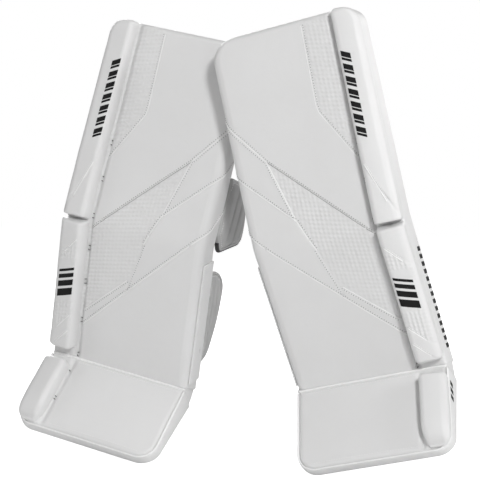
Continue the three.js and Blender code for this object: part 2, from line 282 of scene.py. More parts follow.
class Rings:
    """Closed rounded-rectangle rings, one for each station.

    left, right, front, back and the radii (front left, back left, back right, front right) are numbers
    or one value a station. counts are the points along the front, a side, the back and a corner. u is
    the distance round a ring, and the same as x along the front.
    """

    def __init__(self, stations, left, right, front, back, radii, counts):
        def column(value):
            return np.broadcast_to(np.asarray(value, float), (len(stations),))[:, None]

        left, right, front, back = map(column, (left, right, front, back))
        fl, bl, br, fr = map(column, radii)
        n_front, n_side, n_back, n_corner = counts
        corners = (
            (left + fl, front + fl, fl),
            (left + bl, back - bl, bl),
            (right - br, back - br, br),
            (right - fr, front + fr, fr),
        )
        arc = np.linspace(0, 90, n_corner + 2)[1:-1]
        sides = []
        for i, count in enumerate((n_front, n_side, n_back, n_side)):
            # The centre moves from the corner before to this one, and then the direction turns round it.
            t = np.append(np.linspace(0, 1, count), np.ones(n_corner))
            angle = np.radians(-90 * (i + 1) - np.append(np.zeros(count), arc))
            x, y, radius = (a + (b - a) * t for a, b in zip(corners[i - 1], corners[i]))
            nx, ny = np.cos(angle), np.sin(angle)
            sides.append(np.broadcast_arrays(x + radius * nx, y + radius * ny, nx, ny))
        self.x, self.y, self.nx, self.ny = np.concatenate(sides, axis=2)
        self.s = np.broadcast_to(np.asarray(stations, float)[:, None], self.x.shape)
        step = np.hypot(np.diff(self.x, axis=1), np.diff(self.y, axis=1))
        self.u = right - fr - np.concatenate([0 * left, np.cumsum(step, axis=1)], axis=1)
        self.front = np.arange(self.x.shape[1]) < n_front

    def push(self, amount):
        """Moves each point outwards by amount."""
        self.x = self.x + self.nx * amount
        self.y = self.y + self.ny * amount

    def points(self):
        return stack(self.x, self.y, self.s)


def loft_faces(rows, columns):
    """Quads between closed rings, with a cap at each end."""
    first = np.arange(rows * columns).reshape(rows, columns)
    nxt = np.roll(first, -1, axis=1)
    quads = stack(first[:-1], nxt[:-1], nxt[1:], first[1:]).reshape(-1, 4).tolist()
    return quads + [first[0][::-1].tolist(), first[-1].tolist()]


def rounding(distance, radius):
    """How far a rounded edge has drawn in, at a distance from its end."""
    t = np.clip(1 - np.asarray(distance, float) / radius, 0, 1)
    return radius * (1 - np.sqrt(1 - t * t))


def end_spaced(low, high, step, low_round, high_round, arc_steps=8):
    """Stations closer together over the rounded ends, and how far each is from low and from high."""
    quarter = np.sin(np.linspace(0, np.pi / 2, arc_steps + 1))
    lower = low + low_round * (1 - quarter[::-1])
    upper = high - high_round * (1 - quarter)
    middle = np.arange(lower[-1] + step, upper[0] - step / 2, step)
    stations = np.concatenate([lower, middle, upper])
    return stations, stations - low, high - stations


# ---------------------------------------------------------------- materials


class Nodes:
    """A short way to write a node material. Sizes are in metres."""

    def __init__(self, name):
        self.material = bpy.data.materials.new(name)
        self.material.use_nodes = True
        self.tree = self.material.node_tree
        self.shader = self.tree.nodes["Principled BSDF"]
        self.place = self.add("ShaderNodeTexCoord").outputs["Object"]

    def add(self, kind, inputs=(), **settings):
        """A new node with its settings, and its first inputs linked or set in order."""
        node = self.tree.nodes.new(kind)
        for key, value in settings.items():
            setattr(node, key, value)
        for target, source in zip(node.inputs, inputs):
            self.link(source, target)
        return node

    def link(self, source, target):
        if isinstance(source, (int, float, tuple)):
            target.default_value = source
        else:
            self.tree.links.new(source, target)

    def texture(self, kind, **inputs):
        node = self.add(kind)
        self.link(self.place, node.inputs["Vector"])
        for key, value in inputs.items():
            self.link(value, node.inputs[key])
        return node.outputs

    def noise(self, size, detail=3.0, roughness=0.55):
        """Noise whose features are about size across."""
        made = self.texture("ShaderNodeTexNoise", Scale=1 / size, Detail=detail, Roughness=roughness)
        return made["Fac"]

    def cells(self, size):
        return self.texture("ShaderNodeTexVoronoi", Scale=1 / size)["Distance"]

    def maths(self, operation, a, b=0.0):
        return self.add("ShaderNodeMath", (a, b), operation=operation).outputs[0]

    def remap(self, *values):
        """values are the source, its low and high, and what those become."""
        return self.add("ShaderNodeMapRange", values).outputs[0]

    def mix(self, factor, a, b):
        node = self.add("ShaderNodeMix", data_type="RGBA")
        for socket, value in (("Factor", factor), (6, a), (7, b)):
            self.link(value, node.inputs[socket])
        return node.outputs[2]

    def bump(self, height, distance, strength=1.0, under=None):
        node = self.add("ShaderNodeBump")
        for key, value in (("Height", height), ("Distance", distance), ("Strength", strength)):
            self.link(value, node.inputs[key])
        if under is not None:
            self.link(under, node.inputs["Normal"])
        return node.outputs["Normal"]

    def finish(self, **inputs):
        for name, value in inputs.items():
            self.link(value, self.shader.inputs[name.replace("_", " ")])
        return self.material


def grey(level, warmth=0.0):
    return (level * (1 + warmth), level, level * (1 - warmth), 1.0)


def leather(name, level, roughness, grain=0.0011, depth=0.00011):
    """White coated leather: pebbled grain, faint soiling, a painted highlight on convex edges and an
    uneven sheen.
    """
    n = Nodes(name)
    pebbles = n.cells(grain)
    pores = n.noise(grain * 0.45, 2.0)
    creases = n.noise(0.02, 4.0, 0.7)
    height = n.maths("ADD", n.maths("MULTIPLY", pebbles, 0.7), n.maths("MULTIPLY", pores, 0.35))
    normal = n.bump(creases, 0.0009, 0.35, n.bump(height, depth))
    cloud = n.noise(0.06, 5.0)
    soiling = n.remap(n.noise(0.012, 6.0, 0.7), 0.56, 0.78, 0.0, 0.225)
    base = n.mix(cloud, grey(level * 0.965, 0.004), grey(level))
    base = n.mix(soiling, base, grey(level * 0.9, 0.012))
    # painted highlight: convex edges, found by pointiness, are drawn lighter than the flat leather
    edge_highlight = n.remap(n.add("ShaderNodeNewGeometry").outputs["Pointiness"], 0.52, 0.62, 0.0, 0.25)
    base = n.mix(edge_highlight, base, grey(min(level * 1.05, 0.95)))
    dull = n.remap(n.noise(0.03, 5.0), 0.3, 0.7, roughness - 0.06, roughness + 0.09)
    sheen = {"Specular_IOR_Level": 0.42, "Coat_Weight": 0.06, "Coat_Roughness": 0.35}
    return n.finish(Base_Color=base, Roughness=dull, Normal=normal, **sheen)


def weave(n, thread):
    """Height of a plain weave across x and z, 0 to 1."""
    split = n.add("ShaderNodeSeparateXYZ", (n.place,))
    waves = []
    for axis, shift in (("X", 0.0), ("Z", math.pi / 2)):
        angle = n.maths("MULTIPLY", split.outputs[axis], math.pi / thread)
        waves.append(n.maths("ABSOLUTE", n.maths("SINE", n.maths("ADD", angle, shift))))
    return n.maths("MULTIPLY", *waves)


def cloth(name, level, thread=0.0011, roughness=0.85):
    """Black woven nylon with lint and a soft sheen."""
    n = Nodes(name)
    threads = weave(n, thread)
    normal = n.bump(threads, 0.00035, 0.9)
    lint = n.remap(n.noise(0.0016), 0.62, 0.8, 0.0, 0.3)
    base = n.mix(threads, grey(level * 0.55), grey(level * 1.3))
    base = n.mix(lint, base, grey(level * 3.2))
    sheen = {"Sheen_Weight": 0.35, "Sheen_Roughness": 0.4}
    return n.finish(Base_Color=base, Roughness=roughness, Normal=normal, **sheen)


def moulded(name, level, roughness):
    """Moulded plastic with a spark-eroded texture and light scuffs."""
    n = Nodes(name)
    normal = n.bump(n.noise(0.0007), 0.00009, 0.8)
    scuffs = n.remap(n.noise(0.008, 8.0, 0.75), 0.58, 0.75, 0.0, 0.35)
    base = n.mix(scuffs, grey(level), grey(level * 1.8 + 0.01))
    dull = n.maths("ADD", n.maths("MULTIPLY", scuffs, 0.3), roughness)
    return n.finish(Base_Color=base, Roughness=dull, Normal=normal)


def ink(name):
    """Screen-printed ink, lightly worn."""
    n = Nodes(name)
    worn = n.remap(n.noise(0.0035, 8.0, 0.8), 0.64, 0.74, 0.0, 0.5)
    base = n.mix(worn, grey(0.006), grey(0.07))
    normal = n.bump(n.noise(0.0012), 0.00005, 0.6)
    return n.finish(Base_Color=base, Roughness=0.6, Normal=normal, Specular_IOR_Level=0.25)


def thread(name, level):
    """Twisted thread or cord."""
    n = Nodes(name)
    twist = n.noise(0.0007, 1.0)
    base = n.mix(twist, grey(level * 0.7), grey(level))
    return n.finish(Base_Color=base, Roughness=0.8, Normal=n.bump(twist, 0.0003, 0.8), Sheen_Weight=0.2)


MATERIALS = {
    "face": leather("face_leather", 0.78, 0.48),
    "roll": leather("roll_leather", 0.765, 0.44),
    "boot": leather("boot_leather", 0.79, 0.46),
    "band": leather("band_leather", 0.8, 0.5, grain=0.0019, depth=0.0002),
    # painted shade: the flaps are the same white leather as the face, drawn at a darker tone as if in
    # shadow
    "wing": leather("shaded_wing_leather", 0.5, 0.55, grain=0.0014),
    "block": leather("block_leather", 0.74, 0.55),
    "slide": leather("slide_facing", 0.82, 0.32, grain=0.0007, depth=0.00004),
    # partly painted highlight: the welts are real raised cords, and their leather is drawn lighter than
    # the face to show a light line along each seam
    "welt": leather("highlit_welt_leather", 0.93, 0.42, grain=0.0008),
    "board": moulded("board_plastic", 0.5, 0.4),
    "lining": cloth("lining_nylon", 0.035),
    "binding": cloth("binding_tape", 0.03, thread=0.0008),
    "webbing": cloth("webbing", 0.028, thread=0.0016, roughness=0.75),
    "buckle": moulded("buckle_nylon", 0.018, 0.38),
    "ink": ink("printed_ink"),
    "white_thread": thread("white_thread", 1.0),
    "black_thread": thread("black_thread", 0.03),
    # painted shade: dark thread for the needle dimples and for the shadow line along the diagonal seam
    "painted_shade_thread": thread("painted_shade_thread", 0.2),
    "cord": thread("lace_cord", 0.035),
}

# ---------------------------------------------------------------- parts
# A part is made once, in section millimetres, and placed on each pad. A shape is its points and faces.

parts = []
surfaces = {}  # a lofted skin's Surface, by its part's name
shells = {}  # any lofted part's Shell, by its name
bends = {}  # for a part that spans two bodies: their names, and where the span between them starts and ends


def part(name, section, shape, material, slot, body=None, stands_for=()):
    """Notes a part down. It rides on its section's body unless it has another, or a place in bends."""
    if isinstance(shape, list):
        shape = merge(shape)
    parts.append((name, section, shape, material, slot, body or section, stands_for))


def loft(name, section, points, *finish):
    """A part whose points are closed rings, kept as a shell too. finish is the rest of part's values."""
    shape = points.reshape(-1, 3), loft_faces(*points.shape[:2])
    shells[name] = Shell(*shape)
    part(name, section, shape, *finish)


def merge(shapes):
    """Joins shapes into one. A shape may be missing."""
    points, faces, count = [], [], 0
    for shape_points, shape_faces in filter(None, shapes):
        points.append(np.reshape(shape_points, (-1, 3)))
        faces += [[i + count for i in face] for face in shape_faces]
        count += len(points[-1])
    return np.concatenate(points), faces


def add_object(name, data):
    thing = bpy.data.objects.new(name, data)
    bpy.context.scene.collection.objects.link(thing)
    return thing


def add_mesh(name, points, faces, weld=0.0):
    """A mesh object with its faces turned outwards, and points nearer than weld joined."""
    mesh = bpy.data.meshes.new(name)
    mesh.from_pydata(points.tolist(), [], faces)
    work = bmesh.new()
    work.from_mesh(mesh)
    if weld:
        bmesh.ops.remove_doubles(work, verts=work.verts, dist=weld)
    bmesh.ops.recalc_face_normals(work, faces=work.faces)
    work.to_mesh(mesh)
    work.free()
    return add_object(name, mesh)


def place(side, name, section, shape, material, slot, body, stands_for):
    """Makes one pad's copy of a part, and hangs it on the body it moves with; a part in bends is baked in
    place on no body.
    """
    points, faces = shape
    to_row = SECTIONS[side][section].to_row
    piece = add_mesh(f"{side}_{name}", to_row(np.reshape(points, (-1, 3))), faces)
    piece.data.shade_smooth()
    piece.data.materials.append(MATERIALS[material])
    if stands_for:
        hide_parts(*[f"{side}_{node}" for node in stands_for])
    if name in bends:
        first, second, start, end = bends[name]
        ends = {"start": tuple(to_row(start)), "end": tuple(to_row(end))}
        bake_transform(piece)
    else:
        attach(piece, f"{side}_{body}_body")


class Surface:
    """A lofted skin, looked up by the distance round it (u) and along it (s)."""

    def __init__(self, ring, points):
        self.s = ring.s[:, 0]
        self.u = ring.u
        self.points = points

    def on_row(self, row, u):
        line = self.u[row][::-1]
        return np.array([np.interp(u, line, self.points[row][::-1, axis]) for axis in range(3)])

    def point(self, u, s):
        where = np.interp(s, self.s, np.arange(len(self.s)))
        row = min(int(where), len(self.s) - 2)
        share = where - row
        return self.on_row(row, u) * (1 - share) + self.on_row(row + 1, u) * share

    def at(self, u, s, lift):
        """A point lifted off the skin, and the skin's normal there."""
        reach = 1.5
        across = self.point(u + reach, s) - self.point(u - reach, s)
        along = self.point(u, s + reach) - self.point(u, s - reach)
        normal = unit(np.cross(across, along))
        return self.point(u, s) + normal * lift, normal


class Shell:
    """Any closed part, looked up by dropping points on to it."""

    def __init__(self, points, faces):
        self.tree = BVHTree.FromPolygons([Vector(p) for p in points], faces)

    def drop(self, start, direction, lift):
        """The point hit, lifted off the shell, and the normal there: both None for a miss."""
        hit, normal, _, _ = self.tree.ray_cast(Vector(start), Vector(direction))
        if hit is None:
            return None, None
        if normal.dot(Vector(direction)) > 0:
            normal = -normal
        return np.array(hit + normal * lift), np.array(normal)


def unit(vectors):
    return vectors / np.linalg.norm(vectors, axis=-1, keepdims=True)


def tangents(path):
    return unit(np.gradient(np.asarray(path, float), axis=0))


def left_of(directions):
    """Directions in a plane, each turned a quarter to the left."""
    return stack(-directions[:, 1], directions[:, 0])


def resample(path, spacing):
    """Points at an even spacing along a path of two or three coordinates."""
    path = np.asarray(path, float)
    step = np.linalg.norm(np.diff(path, axis=0), axis=1)
    travelled = np.concatenate([[0], np.cumsum(step)])
    count = max(int(round(travelled[-1] / spacing)), 1) + 1
    wanted = np.linspace(0, travelled[-1], count)
    return np.stack([np.interp(wanted, travelled, column) for column in path.T], axis=-1)


def swept(path, sideways, amount):
    """The two coordinates of ring points that stand sideways off each point of a path."""
    return [path[:, None, i] + sideways[:, None, i] * amount for i in (0, 1)]


def cord_shape(path, radius, sides=8):
    """A round cord along a path. radius is a number or one value a point."""
    along = tangents(path)
    side = np.cross(along[0], [0.31, 0.9, 0.2])
    angle = np.linspace(0, 2 * np.pi, sides, endpoint=False)[:, None]
    rows = []
    for point, ahead, size in zip(path, along, np.broadcast_to(radius, (len(path),))):
        side = unit(side - ahead * np.dot(side, ahead))
        rows.append(point + size * (np.cos(angle) * side + np.sin(angle) * np.cross(ahead, side)))
    return np.array(rows), loft_faces(len(rows), sides)


def bowed_cord(start, end, normal, bow, radius):
    """A short cord that stands off the straight line between its ends."""
    t = np.linspace(0, 1, 9)[:, None]
    return cord_shape(start * (1 - t) + end * t + normal * bow * np.sin(np.pi * t), radius)


STITCH_PITCH = 4.6
STITCH_LENGTH = 3.2
STITCH_LIFT = 0.15  # off the leather


def stitch_shape(middle, along, normal, length, width):
    """One thread stitch: a short bead that dives in at both ends."""
    across = np.cross(normal, along)
    angle = np.radians(np.arange(0, 360, 60))[:, None]
    ring = np.cos(angle) * across + np.sin(angle) * normal
    full, tip, dive = 0.9, 0.35, 0.6
    rows = []
    for t, size in ((-0.5, tip), (-0.3, full), (0.3, full), (0.5, tip)):
        centre = middle + along * length * t - normal * width * (full - size) * dive
        rows.append(centre + size * width / 2 * ring)
    return np.array(rows), loft_faces(4, 6)


def shell_stitches(shell, line, start, direction, lift):
    """Stitches along a (y, z) line, dropped on a shell along x from start."""
    return row_of_stitches([shell.drop((start, y, z), (direction, 0, 0), lift) for y, z in line])


def row_of_stitches(laid, width=1.1):
    """A stitch between each two of the (point, normal) pairs laid along a seam, some of them missing."""
    shapes = []
    for (point, normal), (following, _) in zip(laid, laid[1:]):
        if point is None or following is None:
            continue
        gap = np.linalg.norm(following - point)
        if 1e-6 <= gap <= 3 * STITCH_LENGTH:
            along = (following - point) / gap
            shapes.append(stitch_shape((point + following) / 2, along, normal, STITCH_LENGTH, width))
    return shapes


def seam_line(path, offset):
    """A (u, s) path cut into stitches, and moved to the left of its direction."""
    line = resample(path, STITCH_PITCH)
    return line + offset * left_of(tangents(line))


def surface_stitches(surface, path, offset):
    return row_of_stitches([surface.at(u, s, STITCH_LIFT) for u, s in seam_line(path, offset)])


def needle_hole_shade(surface, path, offset):
    """The dimples the needle leaves between one stitch and the next, drawn as small dark beads of painted
    shade.
    """
    line = seam_line(path, offset)
    size, beads = 1.5, []
    for (u, s), following in zip(line, line[1:]):
        centre, normal = surface.at(u, s, 0.05)
        along = unit(surface.point(*following) - centre)
        beads.append(stitch_shape(centre, along, normal, size, size))
    return beads


def surface_cord(surface, line, radius, lift):
    return cord_shape([surface.at(u, s, lift)[0] for u, s in line], radius)


# ---------------------------------------------------------------- leg skin: thigh and shin


def knee_place(x, y, s):
    """Carries (x, y, s) round the knee break into the thigh's frame. s is measured along the face."""
    turned = KNEE_BEND * np.clip((KNEE_SOFT - s) / (2 * KNEE_SOFT), 0, 1)
    radius = 2 * KNEE_SOFT / KNEE_BEND
    above = np.maximum(s - KNEE_SOFT, 0)
    below = np.maximum(-s - KNEE_SOFT, 0)
    face_y = radius * (1 - np.cos(turned)) + below * math.sin(KNEE_BEND)
    face_z = radius * (math.tan(KNEE_BEND / 2) - np.sin(turned)) + above - below * math.cos(KNEE_BEND)
    return stack(x, face_y + y * np.cos(turned), face_z + y * np.sin(turned))


TOP_INNER = 44  # corner radii of the top edge, seen from the front
TOP_OUTER = 32
TOP_FRONT = 11  # edge radii of the top, seen from the side
TOP_BACK = 13
FACE_STEP = 1.75
ANKLE_TAPER = math.tan(ANKLE_BEND / 2 - math.radians(6))  # leaves the boot room to straighten


def leg_depth(s):
    return CORE - (CORE - CORE_TOP) * np.clip(s / THIGH, 0, 1)


def leg_skin():
    """The leather over the thigh and shin cores, one sleeve bent at the knee break."""
    stations, low, top = end_spaced(-SHIN + 0.8, THIGH, FACE_STEP, 3, TOP_BACK, 10)
    ease = rounding(low, 3)
    front = rounding(top, TOP_FRONT)
    back = leg_depth(stations) - rounding(top, TOP_BACK)
    thin = back - front
    back_radius = np.minimum(8, thin * 0.3)
    ring = Rings(
        stations,
        -HALF + rounding(top, TOP_INNER) + ease,
        HALF - rounding(top, TOP_OUTER) - ease,
        front + ease,
        back,
        (np.minimum(16, thin * 0.55), back_radius, back_radius, np.minimum(6, thin * 0.3)),
        (140, 10, 26, 7),
    )
    x, y, s, u = ring.x, ring.y, ring.s, ring.u
    wrapped = (u > WRAPPED) & (x < SEAM + 12) & (ring.ny < 0.3)
    crown = 2.6 * dome(face_share(x)) * ring.front * np.clip(low[:, None] / 60, 0, 1)
    uneven = 0.35 * ripples(u, s, 90, 4) + 0.14 * ripples(u, s, 34, 9)
    ring.push((face_relief(u, s) * wrapped + crown + uneven) * calm_ends(top, low, 6))
    share = np.clip(-s / SHIN, 0, 1) ** 3
    x, y = ring.x, ring.y
    points = knee_place(x, y, s - np.clip(y, 0, None) * ANKLE_TAPER * share)
    surfaces["leg_skin"] = Surface(ring, points)
    loft("leg_skin", "thigh", points, "face", "face_skin", None, ("thigh_core", "shin_core"))
    bends["leg_skin"] = ("shin", "thigh", [0, 0, -KNEE_SOFT - 4], [0, 0, KNEE_SOFT + 4])


def face_sewing():
    """Welts, stitches and the painted shade of the needle holes along the panels of the face, cut at the
    knee break.
    """
    end = SEAM - 6  # where the seams go under the lacing
    wrap_end = WRAPPED + 8
    wrap_1 = [(wrap_end, 296), EDGE_HIGH, FORK_HIGH]
    wrap_2 = [(wrap_end, 186), EDGE_MIDDLE, FORK_LOW, ELBOW]
    wrap_3 = [(wrap_end, 84), EDGE_LOW, MEETING, (end, -204)]
    band = [(34, THIGH - 12), *BAND_TURN, (end, 118)]
    low = [(2, -95), (end, -175)]
    diagonal = [FORK_HIGH, (end, -14)]
    for name, path, radius, material in (
        ("welt_wrap_1", wrap_1, 0.9, "welt"),
        ("welt_wrap_2", wrap_2, 0.9, "welt"),
        ("welt_wrap_3", wrap_3, 0.9, "welt"),
        ("welt_band", band, 0.7, "welt"),
        ("welt_low", low, 0.7, "welt"),
        ("welt_inner", TEXTURE_INNER, 0.7, "welt"),
        # painted shade: a thin dark cord in the diagonal seam's groove stands for the shadow line under
        # the raised panel's step
        ("diagonal_shade_cord", diagonal, 0.34, "painted_shade_thread"),
    ):
        welt_by_section(name, path, radius, material)
    rows = (
        (wrap_1, -3.4), (wrap_2, 3.4), (wrap_3, 3.4), (wrap_1, 3.4), (low, -3.2), (band, 3.2),
        ([ELBOW, (2, -115)], -3.2), (diagonal, 3.2), (TEXTURE_INNER, -3.0),
    )
    for name, make, material in (
        ("stitches", surface_stitches, "white_thread"),
        # painted shade: dark beads in the needle dimples
        ("needle_hole_shade", needle_hole_shade, "painted_shade_thread"),
    ):
        shapes = [shape for path, offset in rows for shape in make(surfaces["leg_skin"], path, offset)]
        for body, above in (("thigh", True), ("shin", False)):
            kept = [shape for shape in shapes if (shape[0][..., 2].mean() > 0) == above]
            part(f"{name}_{body}", "thigh", kept, material, "face_skin", body)


def welt_by_section(name, path, radius, material):
    """A cord along a face path, cut at the knee break so that each length rides its own section."""
    line = resample(path, 3.0)
    for body, kept in (("thigh", line[line[:, 1] >= -0.6]), ("shin", line[line[:, 1] <= 0.6])):
        if len(kept) >= 3:
            shape = surface_cord(surfaces["leg_skin"], kept, radius, 0.25)
            part(f"{name}_{body}", "thigh", shape, material, "face_skin", body)


def lacing():
    """The black cord that laces the rolls to the face, seen as short pairs across the gutter."""
    leg = surfaces["leg_skin"]
    shapes = {"thigh": [], "shin": []}
    for middle in (147, 79, 9, -54, -119, -195, -265):
        for s in (middle - 4, middle + 4):
            start, normal = leg.at(SEAM - 4.5, s, 0.1)
            end, _ = leg.at(SEAM - 0.5, s + 1.0, 4.5)
            shapes["thigh" if s > 0 else "shin"].append(bowed_cord(start, end, normal, 0.8, 0.75))
    for body, made in shapes.items():
        part(f"lacing_{body}", "thigh", made, "cord", "cord", body)


# ---------------------------------------------------------------- outer rolls


def roll(section, low, high, low_round, high_round, profile, relief=None, narrowing=0.0):
    """A firm padded roll beside the face.

    profile gives, at each station, how high it stands, where its outer side is and how far its back
    reaches behind the face. narrowing draws its inner edge in near its low end.
    """
    stations, up, down = end_spaced(low, high, 2.0, low_round, high_round)
    ends = rounding(up, low_round) + rounding(down, high_round)
    rise, outer, sink = profile(stations)
    tall = np.maximum(rise - ends, 2.0)
    radii = (np.minimum(9, tall * 0.4), 0.6, 0.6, np.minimum(12, tall * 0.5))
    inner = SEAM + 1 + ends * 0.6 + narrowing * np.clip(1 - up / 30, 0, 1) ** 1.5
    ring = Rings(stations, inner, outer - ends * 0.6, -tall, 0.6 + sink, radii, (26, 12, 6, 7))
    x, y, s = ring.x, ring.y, ring.s
    across = np.clip((x - SEAM) / (HALF - SEAM), 0, 1)
    tallness = np.clip((0.6 - y) / (tall[:, None] + 0.6), 0, 1)
    fronted = ring.ny < -0.5
    belly = 0.9 * np.sin(np.pi * tallness) * (np.abs(ring.nx) > 0.5)
    uneven = 0.3 * ripples(x + y, s, 60, 21) * (ring.ny < 0.2)
    swell = (1.3 * dome(across) + (relief(x, s) if relief else 0)) * fronted + belly + uneven
    ring.push(swell * calm_ends(up, down, 6))
    ring.y = ring.y + 8 * across * tallness * np.clip(tall / ROLL_RISE, 0, 1)[:, None]
    ring.x = ring.x + 3 * tallness * (1 - across)
    points = stack(ring.x, ring.y, s)
    name = section + "_roll"
    surfaces[name] = Surface(ring, points)
    loft(name + "_skin", section, points, "roll", "roll_skin", None, (name,))


def thigh_roll_relief(x, s):
    lower = [*ROLL_DIAGONAL, (HALF + 2, -20), (SEAM - 2, -20)]
    return groove(x, s, ROLL_DIAGONAL, 0.9) - 0.7 * area(x, s, lower)


def shin_roll_relief(x, s):
    strip = STRIP_TOP + STRIP_LOW[::-1]
    textured = ROLL_TEXTURE_TOP + STRIP_TOP[::-1]
    from_print = np.hypot((x - PRINT_AT[0]) / 28, (s - PRINT_AT[1]) / 42)
    clear = np.clip((from_print - 0.9) * 6, 0, 1)
    height = 0.7 * area(x, s, strip) + 1.3 * embossing(x, s) * area(x, s, textured) * clear
    for path in (ROLL_TEXTURE_TOP, STRIP_TOP, STRIP_LOW):
        height = height + groove(x, s, path, 0.7)
    return height


def thigh_profile(s):
    full_below, top_rise = 120, 21
    rise = np.interp(s, [full_below, THIGH], [ROLL_RISE, top_rise])
    return rise, HALF - rounding(THIGH - s, TOP_OUTER), rounding(THIGH - s, TOP_FRONT)


def shin_profile(s):
    return ROLL_RISE + 0 * s, HALF, 0


def boot_profile(s):
    toe_rise, toe_corner = 6, 30
    t = np.clip((-BOOT * 0.6 - s) / (BOOT * 0.34), 0, 1)
    rise = toe_rise + (ROLL_RISE - toe_rise) * np.sqrt(1 - t * t)
    return rise, HALF - rounding(s + BOOT, toe_corner), 0


def rolls():
    gap = 1.8  # between the knee break and the thigh roll
    knee = 2 * math.tan(KNEE_BEND / 2) - gap
    roll("thigh", gap, THIGH, 4, 9, thigh_profile, thigh_roll_relief)
    roll("shin", ROLL_END - SHIN, knee, 8, 4, shin_profile, shin_roll_relief)
    roll("boot", -BOOT + 5, -ROLL_END, 3, 8, boot_profile, narrowing=9)


def roll_sewing():
    """A welt and a row of stitches along each seam of a roll, given by the heights of its two ends."""
    for section, seams in (("thigh", [(105, 36)]), ("shin", [(-33, -63), (-182, -211), (-212, -241)])):
        surface = surfaces[section + "_roll"]
        stitches, cords = [], []
        for inner, outer in seams:
            line = [(SEAM + 6, inner), (HALF - 17, outer)]
            stitches += surface_stitches(surface, line, 3.0)
            cords.append(surface_cord(surface, resample(line, 3.0), 0.8, 0.2))
        part(section + "_roll_stitches", section, stitches, "white_thread", "roll_skin")
        part(section + "_roll_welts", section, cords, "welt", "roll_skin")


# ---------------------------------------------------------------- printed accents


def laid_patch(shell, grid, direction):
    """A thin closed print: a grid of start points dropped on to a shell. None if any misses."""
    lift, sink = 0.25, 0.5
    laid = [shell.drop(start, direction, lift) for line in grid for start in line]
    if any(point is None for point, _ in laid):
        return None
    top = [point for point, _ in laid]
    bottom = [point - normal * (lift + sink) for point, normal in laid]
    rows, columns = len(grid), len(grid[0])
    count = rows * columns
    index = np.arange(count).reshape(rows, columns)
    quads = stack(index[:-1, :-1], index[:-1, 1:], index[1:, 1:], index[1:, :-1]).reshape(-1, 4)
    under = quads[:, ::-1] + count
    rim = [*index[0], *index[1:, -1], *index[-1, -2::-1], *index[-2:0:-1, 0]]
    walls = [[int(i) for i in (a, a + count, b + count, b)] for a, b in zip(rim, rim[1:] + rim[:1])]
    return np.array(top + bottom), quads.tolist() + under.tolist() + walls


def slanted_bar(left, right, low, tall, slant):
    """The corners of a bar that leans down to the right by slant either side of level."""
    high = low + tall
    return [(left, high + slant), (right, high - slant), (right, low - slant), (left, low + slant)]


def stamp(name, section, shell, bars, size, start, direction, slot, body=None):
    """Prints slanted bars on a shell. start puts a bar's point clear of it; size is points each way."""
    shapes = []
    for bar in bars:
        a, b, c, d = (np.array(corner, float) for corner in slanted_bar(*bar))
        grid = []
        for t in np.linspace(0, 1, size[1]):
            left, right = a + (d - a) * t, b + (c - b) * t
            grid.append([start(*(left + (right - left) * k)) for k in np.linspace(0, 1, size[0])])
        shapes.append(laid_patch(shells[shell], grid, direction))
    part(name, section, shapes, "ink", slot, body)


def prints():
    """Plain bars in black ink: on the thigh roll, the shin roll, the shin's side and the boot's side."""
    backward, inward = (0, 1, 0), (-1, 0, 0)

    def ahead(x, s):
        return x, -90, s

    def beside_boot(y, s):
        return HALF + 40, y, s

    def beside_leg(y, s):
        return knee_place(*beside_boot(y, s))

    ladder = []
    for i in range(7):
        for low, tall in ((286.5, 9.5), (280.5, 4.5)):
            ladder.append((SEAM + 8, SEAM + 24, low - i * 21.5, tall, 4))
    stamp("bars_print", "thigh", "thigh_roll_skin", ladder, (9, 8), ahead, backward, "roll_skin")

    fading, low = [], PRINT_AT[1] - 32
    for tall in (14, 11, 8, 5):
        fading.append((PRINT_AT[0] - 15, PRINT_AT[0] + 17, low, tall, 6))
        low += tall + 5
    stamp("shin_bars_print", "shin", "shin_roll_skin", fading, (15, 7), ahead, backward, "roll_skin")

    dashes = [(30, 49, -72.4 - i * 14.2, 8.4, 3) for i in range(14)]
    stamp("dashes_print", "thigh", "leg_skin", dashes, (7, 5), beside_leg, inward, "face_skin", "shin")

    marks = [(7, 19, -36 - i * 13, 8, 2) for i in range(3)]
    stamp("mark_print", "boot", "boot_band", marks, (7, 5), beside_boot, inward, "toe_rim")


# ---------------------------------------------------------------- boot


def boot_back(s):
    return CORE + (CORE - CORE_TOE) * s / BOOT


